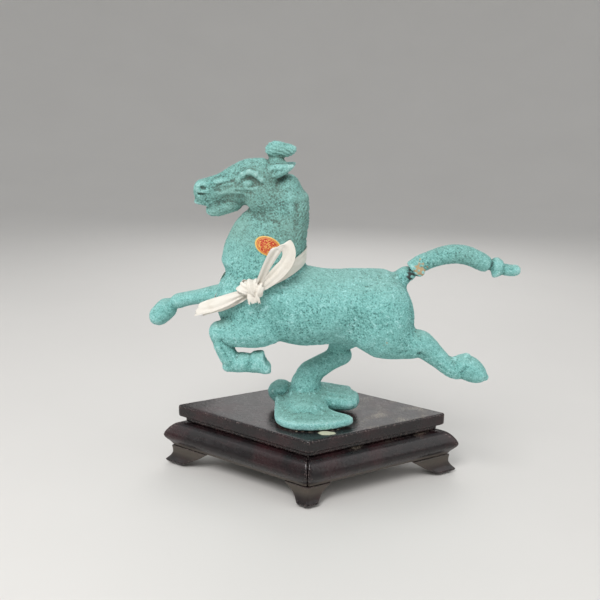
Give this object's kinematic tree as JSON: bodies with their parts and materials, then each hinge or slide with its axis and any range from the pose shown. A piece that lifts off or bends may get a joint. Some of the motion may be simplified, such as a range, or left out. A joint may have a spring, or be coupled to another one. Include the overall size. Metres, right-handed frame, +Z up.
{
  "type": "bronze horse statue on a wooden stand",
  "caption": "Galloping horse in green-patinated bronze, one hind hoof on a swallow, on a lozenge-shaped lacquered wooden stand.",
  "frame": {"origin": "middle of the underside of the whole object, on the surface it stands on", "axes": "+Z up; the horse faces -X and its left side faces -Y"},
  "size_m": [0.1946, 0.0916, 0.1824],
  "materials": {
    "patina": "rough cast bronze under a crusty blue-green verdigris",
    "lacquered_wood": "near-black lacquered hardwood, worn on its edges",
    "steel": "plain steel",
    "cotton": "plain woven white cotton tape",
    "label": "printed foil paper with a gold rim"
  },
  "bodies": {
    "root": {"torso": "patina", "neck_and_head": "patina", "forelock": "patina", "tail": "patina", "left_foreleg": "patina", "right_foreleg": "patina", "left_hind_leg": "patina", "right_hind_leg": "patina", "swallow": "patina", "fixing_stud": "steel", "washer": "steel", "nut": "steel", "top_board": "lacquered_wood", "waist_board": "lacquered_wood", "back_right_apron": "lacquered_wood", "back_left_apron": "lacquered_wood", "front_left_apron": "lacquered_wood", "front_right_apron": "lacquered_wood", "right_foot": "lacquered_wood", "left_foot": "lacquered_wood", "back_foot": "lacquered_wood", "front_foot": "lacquered_wood", "ribbon_neck_band": "cotton", "ribbon_knot": "cotton", "ribbon_loop": "cotton", "ribbon_long_end": "cotton", "ribbon_short_end": "cotton", "oval_label": "label"}
  },
  "joints": []
}
